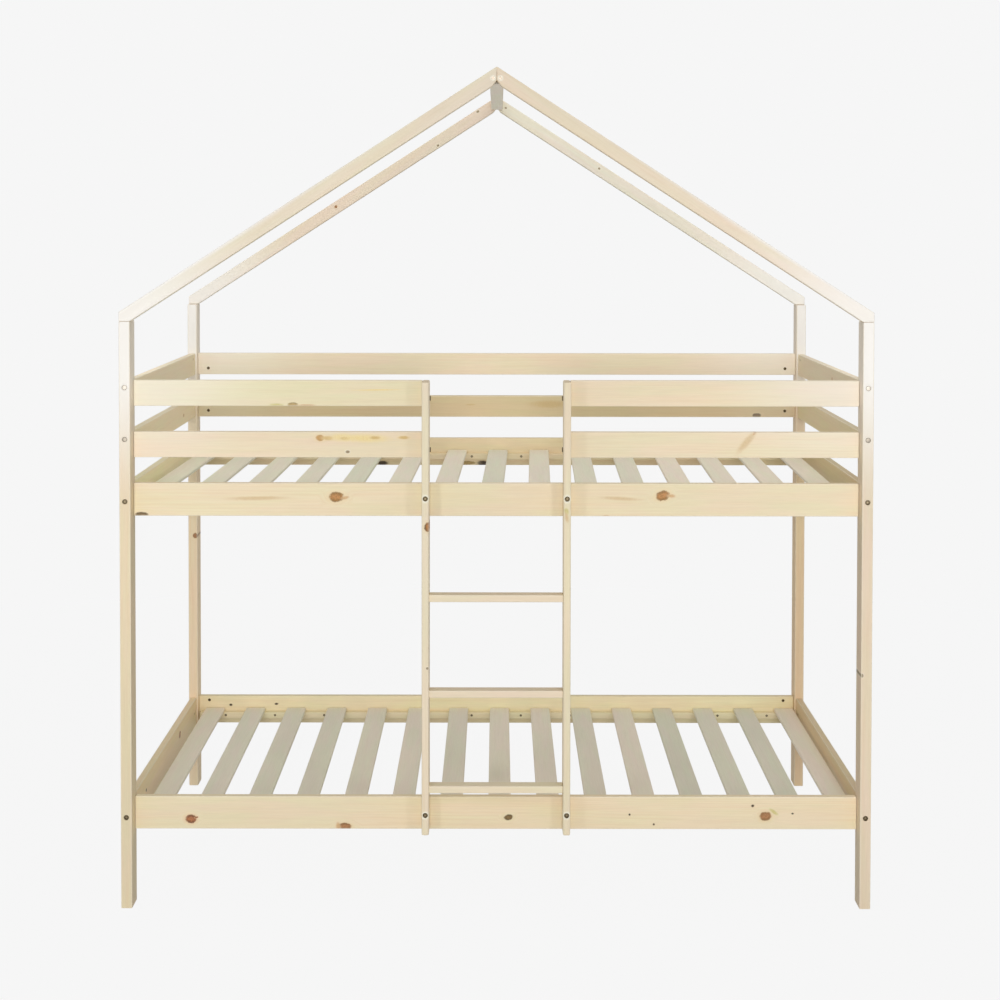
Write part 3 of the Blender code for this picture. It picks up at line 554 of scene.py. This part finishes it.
bolt = {"head": 0.0130, "thick": 0.0026, "round": 0.0011, "socket": 0.0052, "deep": 0.0017,
        "inset": 0.0010, "shank": 0.0058, "long": 0.060, "sides": 24, "shankSides": 12, "roundSteps": 4,
        "letIn": 0.0029}
nut = {"across": 0.0098, "long": 0.0155, "letIn": 0.0011, "slot": 0.0014, "deep": 0.0013, "sides": 20,
       "round": 0.0005, "roundSteps": 2}
screw = {"head": 0.0072, "proud": 0.0003, "long": 0.030, "core": 0.0032, "slot": 0.0011, "reach": 0.0021,
         "deep": 0.0011, "sides": 16, "coreSides": 10, "cone": 0.35}
ridgeScrew = {"head": 0.0090, "proud": -0.0004, "long": 0.060, "core": 0.0044, "slot": 0.0013, "reach": 0.0028,
              "deep": 0.0013, "sides": 20, "coreSides": 10, "cone": 0.35}
fitPlan = {"railSpread": 0.030, "guardDrop": 0.014, "guardRise": 0.018, "ladderRise": 0.010, "nutSetback": 0.033,
           "boardGap": 0.0003, "ledgeScrews": 12, "ledgePitch": 0.1578, "ledgeDrop": 0.0090,
           "ridgeSpread": 0.0098, "ridgeRise": ridgeRise}


steelLook = {"blotches": (420, 4), "scratches": (2600, 2), "smoother": 0.07, "rougher": 0.1, "bump": 0.15,
             "bumpDepth": 0.0001}


def steel(name, colour, roughness, grime, highlightTint=None):
    material, tree, shader = newMaterial(name)
    shader.inputs["Metallic"].default_value = 1
    spot = put(tree, "ShaderNodeTexCoord", (-1000, 0)).outputs["Object"]
    blotch = noise(tree, (-700, 0), spot, *steelLook["blotches"])
    scratch = noise(tree, (-700, -300), spot, *steelLook["scratches"])
    dirty = mixColours(tree, (-300, 0), fade(tree, (-500, 0), blotch, 0.35, 0.7), (*colour, 1), (*grime, 1))
    # painted highlight: a bolt head near the upper corners pales towards its highlight tint
    if highlightTint:
        dirty = useGroup(tree, cornerGlare, (-150, 200), {
            "Color": dirty, "Point": spot, "Bleached Wood": (*highlightTint, 1)})["Color"]
    feed(tree, shader.inputs["Base Color"], dirty)
    low, high = roughness - steelLook["smoother"], roughness + steelLook["rougher"]
    feed(tree, shader.inputs["Roughness"], fade(tree, (-300, -200), scratch, 0.3, 0.7, low, high))
    feed(tree, shader.inputs["Normal"], bump(tree, (-300, -400), scratch, steelLook["bump"], steelLook["bumpDepth"]))
    return material


nutSteel = steel("dark nut steel", (0.120, 0.090, 0.050), 0.42, (0.060, 0.042, 0.022))
# painted reflection: the bolt heads are coloured dark for the dark surroundings they reflect, and their sockets paler
# for the pale reflection in the middle of a head
darkSteel = steel("dark bolt steel", (0.130, 0.100, 0.055), 0.42, (0.060, 0.042, 0.022), (0.54, 0.50, 0.44))
socketReflection = steel("worn socket steel", (0.300, 0.245, 0.165), 0.45, (0.110, 0.080, 0.045), (0.60, 0.56, 0.50))
brightSteel = steel("bright screw steel", (0.50, 0.43, 0.35), 0.45, (0.32, 0.26, 0.20))


def makeBolt():
    shape = bmesh.new()
    disc(shape, bolt["shank"] / 2, bolt["long"], -bolt["long"], bolt["shankSides"])
    disc(shape, bolt["head"] / 2, bolt["thick"], 0, bolt["sides"])
    roundOff(shape, topFace(shape).edges[:], bolt["round"], bolt["roundSteps"])
    top = topFace(shape)
    bmesh.ops.inset_region(shape, faces=[top], thickness=bolt["inset"], use_even_offset=True)
    for corner in top.verts:        # the inner ring is drawn in to a hexagon
        angle = atan2(corner.co.y, corner.co.x)
        reach = bolt["socket"] / 2 / cos((angle % (pi / 3)) - pi / 6)
        corner.co.xy = Vector((corner.co.x, corner.co.y)).normalized() * reach
    for face in sink(shape, [top], bolt["deep"]):
        face.material_index = 1
    return toMesh(shape, "template")


def makeNut():
    shape = bmesh.new()
    disc(shape, nut["across"] / 2, nut["long"], -nut["long"], nut["sides"])
    roundOff(shape, topFace(shape).edges[:], nut["round"], nut["roundSteps"])
    for side in (-1, 1):
        cut(shape, (side * nut["slot"] / 2, 0, 0), (1, 0, 0))
    slot = [face for face in shape.faces
            if face.normal.z > meshing["upward"] and abs(face.calc_center_median().x) < nut["slot"] / 3]
    sink(shape, slot, nut["deep"])
    return toMesh(shape, "template")


def makeScrew(size):
    shape = bmesh.new()
    under = size["head"] * size["cone"]
    disc(shape, size["core"] / 2, size["long"], -size["long"], size["coreSides"])
    bmesh.ops.create_cone(shape, cap_ends=True, segments=size["sides"], radius1=size["core"] / 2,
                          radius2=size["head"] / 2, depth=under,
                          matrix=Matrix.Translation((0, 0, size["proud"] - under / 2)))
    for axis in (0, 1):
        for away in (-size["reach"], -size["slot"] / 2, size["slot"] / 2, size["reach"]):
            spot, across = Vector(), Vector()
            spot[axis], across[axis] = away, 1
            cut(shape, spot, across)
    cross = []
    for face in shape.faces:
        spot = face.calc_center_median()
        short, wide = sorted((abs(spot.x), abs(spot.y)))
        onTop = face.normal.z > meshing["upward"] and spot.z > size["proud"] - meshing["near"]
        if onTop and short < size["slot"] / 2 and wide < size["reach"]:
            cross.append(face)
    sink(shape, cross, size["deep"])
    return toMesh(shape, "template")


def middleOf(name, axis):
    low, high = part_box(name)
    return (low[axis] + high[axis]) / 2


railLevels, guardLevels = ("lower_rail", "upper_rail"), ("lower_guard", "upper_guard")
levels = {level: middleOf(f"{level}_left", 2) for level in railLevels + guardLevels}
longY = {"front": middleOf("upper_guard_front_left", 1), "back": middleOf("upper_guard_back", 1)}
boardHalf = (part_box("upper_guard_back")[1].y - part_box("upper_guard_back")[0].y) / 2
# the heights of the bolts that run along the bed and across it
alongHeights, acrossHeights = {}, {}
for level, height in levels.items():
    if level in railLevels:
        alongHeights[level] = [height - fitPlan["railSpread"], height + fitPlan["railSpread"]]
        acrossHeights[level] = height
    else:
        alongHeights[level] = [height - fitPlan["guardDrop"]]
        acrossHeights[level] = height + fitPlan["guardRise"]
boltMesh, nutMesh, screwMesh, ridgeMesh = makeBolt(), makeNut(), makeScrew(screw), makeScrew(ridgeScrew)
twoSteels = (darkSteel, socketReflection)


def postBolts(end, side):
    low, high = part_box(f"post_{end}_{side}")
    outX = (low.x + bolt["letIn"], -1) if side == "left" else (high.x - bolt["letIn"], 1)
    outY = (low.y + bolt["letIn"], -1) if end == "front" else (high.y - bolt["letIn"], 1)
    spots = [((outX[0], longY[end], height), (outX[1], 0, 0))
             for heights in alongHeights.values() for height in heights]
    spots += [(((low.x + high.x) / 2, outY[0], height), (0, outY[1], 0)) for height in acrossHeights.values()]
    setCopies(f"bolts_post_{end}_{side}", boltMesh, spots, twoSteels)


def longNuts(level, end):
    # barrel nuts in the inner face of the boards along the bed
    faceY, facing = (longY["front"] + boardHalf, 1) if end == "front" else (longY["back"] - boardHalf, -1)
    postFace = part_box("post_front_right")[0].x - fitPlan["boardGap"]
    reach = [postFace - fitPlan["nutSetback"]]
    if level in guardLevels and end == "front":
        reach.append(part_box(f"{level}_front_right")[0].x + fitPlan["nutSetback"])
    spots = [((side * away, faceY - facing * nut["letIn"], height), (0, facing, 0))
             for side in (-1, 1) for away in reach for height in alongHeights[level]]
    setCopies(f"barrel_nuts_{level}_{end}", nutMesh, spots, (nutSteel,))


def shortNuts(level, side):
    low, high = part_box(f"{level}_{side}")
    faceX, facing = (high.x, 1) if side == "left" else (low.x, -1)
    spots = [((faceX - facing * nut["letIn"], away, acrossHeights[level]), (facing, 0, 0))
             for away in (low.y + fitPlan["nutSetback"], high.y - fitPlan["nutSetback"])]
    setCopies(f"barrel_nuts_{level}_{side}", nutMesh, spots, (nutSteel,))


def ladderBolts(side):
    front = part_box(f"ladder_stile_{side}")[0].y + bolt["letIn"]
    low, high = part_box("ladder_stile_right")
    outward = -1 if side == "left" else 1
    centre, half = outward * (low.x + high.x) / 2, (high.x - low.x) / 2
    spots = [((centre, front, levels[level] + fitPlan["ladderRise"]), (0, -1, 0))
             for level in railLevels]
    spots += [((centre - outward * half, longY["front"], alongHeights[level][0]), (-outward, 0, 0))
              for level in guardLevels]
    setCopies(f"bolts_ladder_{side}", boltMesh, spots, twoSteels)


def ledgeScrews(level, end):
    low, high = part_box(f"{level}_{end}")
    faceY, facing = (high.y, 1) if end == "front" else (low.y, -1)
    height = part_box(level.replace("rail", "slat_01"))[0].z - fitPlan["ledgeDrop"]
    count = fitPlan["ledgeScrews"]
    spots = [(((step - (count - 1) / 2) * fitPlan["ledgePitch"], faceY, height), (0, facing, 0))
             for step in range(count)]
    setCopies(f"ledge_screws_{level}_{end}", screwMesh, spots, (nutSteel,))


def ridgeScrews(end):
    low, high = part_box(f"rafter_{end}_left")
    faceY, facing = (low.y, -1) if end == "front" else (high.y, 1)
    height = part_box("ridge_beam")[0].z + fitPlan["ridgeRise"]
    spots = [((side * fitPlan["ridgeSpread"], faceY, height), (0, facing, 0)) for side in (-1, 1)]
    setCopies(f"ridge_screws_{end}", ridgeMesh, spots, (brightSteel,))


for end in ("front", "back"):
    ridgeScrews(end)
    for side in ("left", "right"):
        postBolts(end, side)
    for level in levels:
        longNuts(level, end)
    for level in railLevels:
        ledgeScrews(level, end)
for side in ("left", "right"):
    ladderBolts(side)
    for level in levels:
        shortNuts(level, side)
print("4 of 6: bolts, nuts and screws are set")


# Ladder: the CAD joins the rungs to the left stile, so both are made apart here, each with its own grain

rungs = {"count": 3, "firstRise": 0.042, "lastDrop": 0.200, "thick": 0.019, "deep": 0.036, "setback": 0.006,
         "letIn": 0.006, "round": 0.0025, "roundSteps": 4}


def leftStile():
    shape = bmesh.new()
    shape.from_mesh(nodes["ladder_stile_right"].data)
    bmesh.ops.remove_doubles(shape, verts=shape.verts, dist=meshing["weld"])
    bmesh.ops.scale(shape, vec=(-1, 1, 1), verts=shape.verts)
    bmesh.ops.recalc_face_normals(shape, faces=shape.faces)
    stile = nameIt(shape, "stile_left", (), ["ladder_stile_left"], meshing["stileSmooth"])
    stile.data.materials.append(pineMaterial("ladder_stile_left", "ladder", stile.data, knots["ladder_stile_left"]))


def makeRung(count):
    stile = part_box("ladder_stile_right")
    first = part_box("lower_rail_front")[1].z + rungs["firstRise"]
    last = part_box("upper_rail_front")[0].z - rungs["lastDrop"]
    top = first + (last - first) * count / (rungs["count"] - 1)
    reach = stile[0].x
    low = Vector((-reach - rungs["letIn"], stile[0].y + rungs["setback"], top - rungs["thick"]))
    high = Vector((reach, low.y + rungs["deep"], top))
    shape = bmesh.new()
    stretched = Matrix.Translation((low + high) / 2) @ Matrix.Diagonal((*(high - low), 1))
    bmesh.ops.create_cube(shape, size=1, matrix=stretched)
    roundOff(shape, shape.edges[:], rungs["round"], rungs["roundSteps"])
    rung = nameIt(shape, f"rung_{count + 1}", (), ["ladder_stile_left"])
    rung.data.materials.append(pineMaterial(rung.name, "ladder", rung.data, []))


leftStile()
for count in range(rungs["count"]):
    makeRung(count)


# Slats share one material: each reads its own number from its place, and with it its tone and its piece of the tree

slats = {"count": 15, "pale": (0.910, 0.852, 0.714), "ring": (0.846, 0.761, 0.602), "ringWidth": 0.0042,
         "wander": 0.010, "strength": 0.36, "roughness": (0.70, 0.56), "bump": 0.25, "bumpDepth": 0.0004,
         "ringRelief": 0.4, "endShare": 0.6,
         "tone": (0.94, 1.036), "green": (0.965, 1.010, 0.985, 1), "pink": (1.020, 0.980, 0.985, 1),
         "endWood": (0.60, 0.50, 0.36, 1), "shift": (7, 0.05, 0.12), "cellStart": (50, 0.6), "cell": (100, 10)}


def slatMaterial():
    first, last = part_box("upper_slat_01"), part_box(f"upper_slat_{slats['count']:02d}")
    pitch = (last[0].x - first[0].x) / (slats["count"] - 1)
    gap = pitch - first[1].x + first[0].x
    material, tree, shader = newMaterial("slat wood")
    shader.location = (900, 0)
    place = put(tree, "ShaderNodeTexCoord", (-2000, 0)).outputs
    # cells one slat's pitch wide, with a border between the two beds, so each slat reads its own whole number
    start = vectors(tree, "SUBTRACT", (-1900, -300), place["Object"], (first[0].x - gap / 2, *slats["cellStart"]))
    number = vectors(tree, "FLOOR", (-1600, -300), vectors(
        tree, "DIVIDE", (-1800, -300), start, (pitch, *slats["cell"])))
    own = put(tree, "ShaderNodeTexWhiteNoise", (-1400, -300), {"Vector": number}).outputs
    laid, facing = (put(tree, "ShaderNodeMapping", (-1600, height), {
        "Vector": place[output], "Rotation": (0, 0, -pi / 2)}).outputs[0]
        for output, height in (("Object", 0), ("Normal", -600)))
    shift = vectors(tree, "MULTIPLY", (-1200, -200), own["Color"], slats["shift"])
    wood = useGroup(tree, pineGrain, (-600, 200), {
        "Vector": vectors(tree, "ADD", (-900, 0), laid, shift), "Pale Wood": (*slats["pale"], 1),
        "Ring Wood": (*slats["ring"], 1), "Ring Width": slats["ringWidth"], "Wander": slats["wander"],
        "Ring Strength": slats["strength"]})
    tone = fade(tree, (-600, -300), own["Value"], 0, 1, *slats["tone"])
    chance = component(tree, (-600, -150), own["Color"], "X")
    tint = mixColours(tree, (-450, -150), chance, slats["green"], slats["pink"])
    toned = vectors(tree, "MULTIPLY", (-300, 0), vectors(tree, "MULTIPLY", (-300, 150), wood["Color"], tone), tint)
    endways = maths(tree, "ABSOLUTE", (-700, -600), component(tree, (-900, -600), facing, "X"))
    end = fade(tree, (-300, -600), endways, *endFacing, 0, slats["endShare"])
    feed(tree, shader.inputs["Base Color"], mixColours(tree, (0, 0), end, toned, slats["endWood"]))
    feed(tree, shader.inputs["Roughness"], fade(tree, (600, -100), wood["Rings"], 0, 1, *slats["roughness"]))
    ridges = maths(tree, "MULTIPLY", (250, -400), wood["Rings"], slats["ringRelief"])
    relief = maths(tree, "ADD", (400, -400), ridges, wood["Fibre"])
    feed(tree, shader.inputs["Normal"], bump(tree, (600, -400), relief, slats["bump"], slats["bumpDepth"]))
    return material


slatWood = slatMaterial()
for name, board in nodes.items():
    if "slat" in name:
        board.material_slots[0].material = slatWood
print("5 of 6: ladder and slats are finished")


# Studio: a floor and a sky of one pale tone for the camera, two narrow lamps in front of the posts, a small one
# for each back corner, a soft one overhead and a wide one far behind the camera

studio = {"backdrop": 0.922, "floorRadius": 16.0, "floorSides": 64, "floorLight": 0.909, "floorShade": 0.02,
          "floorBounce": 0.68, "nearFloor": (1.6, 3.4), "nearShape": (0.75, 1, 0), "paper": (0.98, 1.0), "sky": 0.425}
lamps = {
    "lamp_left": {"place": (-1.05, -1.85, 1.20), "aim": (-1.05, -0.46, 1.08), "size": (0.25, 1.80), "power": 5.7},
    "lamp_right": {"place": (1.05, -1.85, 1.20), "aim": (1.05, -0.46, 1.08), "size": (0.25, 1.80), "power": 5.7},
    "corner_left": {"place": (-0.97, -0.30, 1.80), "aim": (-0.97, 0.455, 1.46), "size": (0.06, 0.30), "power": 0.7},
    "corner_right": {"place": (0.97, -0.30, 1.80), "aim": (0.97, 0.455, 1.46), "size": (0.06, 0.30), "power": 0.7},
    "overhead": {"place": (0, 0, 3.6), "aim": (0, 0.001, 1.0), "size": (2.6, 1.4), "power": 14.0},
    "front_fill": {"place": (0, -30.0, 4.0), "aim": (0, 0, 1.0), "size": (6.0, 6.0), "power": 2550},
}


def seenDirectly(tree, spot):
    # 1 where the camera, a mirror or glass looks at it, 0 for light on its way to the wood
    ray = put(tree, "ShaderNodeLightPath", spot).outputs
    both = maths(tree, "MAXIMUM", (spot[0] + 200, spot[1]), ray["Is Camera Ray"], ray["Is Glossy Ray"])
    return maths(tree, "MAXIMUM", (spot[0] + 400, spot[1]), both, ray["Is Transmission Ray"])


def floorMaterial():
    material, tree, shader = newMaterial("studio floor")
    tree.nodes.remove(shader)
    seen = seenDirectly(tree, (-1200, 400))
    spot = put(tree, "ShaderNodeTexCoord", (-1600, 0)).outputs["Object"]
    away = vectors(tree, "LENGTH", (-1200, 0), vectors(tree, "MULTIPLY", (-1400, 0), spot, studio["nearShape"]))
    far = fade(tree, (-900, 0), away, *studio["nearFloor"])
    paper = fade(tree, (-900, -600), noise(tree, (-1200, -600), spot, 40, 3), 0.3, 0.7, *studio["paper"])
    bounceTone = mixColours(tree, (-600, -600), paper, (0, 0, 0, 1), (studio["floorBounce"],) * 3 + (1,))
    bounce = put(tree, "ShaderNodeBsdfDiffuse", (-300, -400), {"Color": bounceTone}).outputs[0]
    shade = put(tree, "ShaderNodeBsdfDiffuse", (-300, -200), {"Color": (studio["floorShade"],) * 3 + (1,)}).outputs[0]
    glow = put(tree, "ShaderNodeEmission", (-300, 0), {"Strength": studio["floorLight"]}).outputs[0]
    plain = put(tree, "ShaderNodeEmission", (-300, 200), {"Strength": studio["backdrop"]}).outputs[0]
    near = put(tree, "ShaderNodeAddShader", (0, -100), {0: glow, 1: shade}).outputs[0]
    camera = put(tree, "ShaderNodeMixShader", (200, 0), {0: far, 1: near, 2: plain}).outputs[0]
    whole = put(tree, "ShaderNodeMixShader", (450, 0), {0: seen, 1: bounce, 2: camera}).outputs[0]
    out = tree.nodes["Material Output"]
    out.location = (700, 0)
    feed(tree, out.inputs["Surface"], whole)
    return material


def makeFloor():
    shape = bmesh.new()
    bmesh.ops.create_circle(shape, cap_ends=True, segments=studio["floorSides"], radius=studio["floorRadius"])
    mesh = toMesh(shape, "studio_floor")
    mesh.materials.append(floorMaterial())
    floor = inScene("studio_floor", mesh)


def makeSky():
    world = bpy.data.worlds.new("studio sky")
    world.use_nodes = True
    bpy.context.scene.world = world
    tree = world.node_tree
    seen = seenDirectly(tree, (-800, 200))
    back = tree.nodes["Background"]
    back.inputs["Color"].default_value = (1, 1, 1, 1)
    feed(tree, back.inputs["Strength"], put(tree, "ShaderNodeMapRange", (-200, 0), {
        0: seen, 1: 0, 2: 1, 3: studio["sky"], 4: studio["backdrop"]}).outputs[0])


def makeLamps():
    for name, lamp in lamps.items():
        light = bpy.data.lights.new(name, "AREA")
        light.shape = "RECTANGLE"
        light.size, light.size_y = lamp["size"]
        light.energy = lamp["power"]
        item = inScene(name, light)
        item.location = lamp["place"]
        item.visible_camera = False
        item.rotation_euler = (Vector(lamp["aim"]) - Vector(lamp["place"])).to_track_quat("-Z", "Y").to_euler()


# The camera stands 4.3 m in front of the ladder at 1.79 m and looks a little down
view = {"place": (0.0028, -4.797, 1.7934), "down": 1.502, "lean": -0.0716, "lens": 59.32, "shift": (0.0023, -0.2290)}


def makeCamera():
    camera = inScene("camera", bpy.data.cameras.new("camera"))
    camera.location = view["place"]
    camera.rotation_euler = (radians(90 - view["down"]), radians(view["lean"]), 0)
    camera.data.lens = view["lens"]
    camera.data.shift_x, camera.data.shift_y = view["shift"]
    bpy.context.scene.camera = camera


makeFloor()
makeSky()
makeLamps()
makeCamera()
bpy.context.scene.view_settings.view_transform = "Standard"
print("6 of 6: studio and camera are ready")
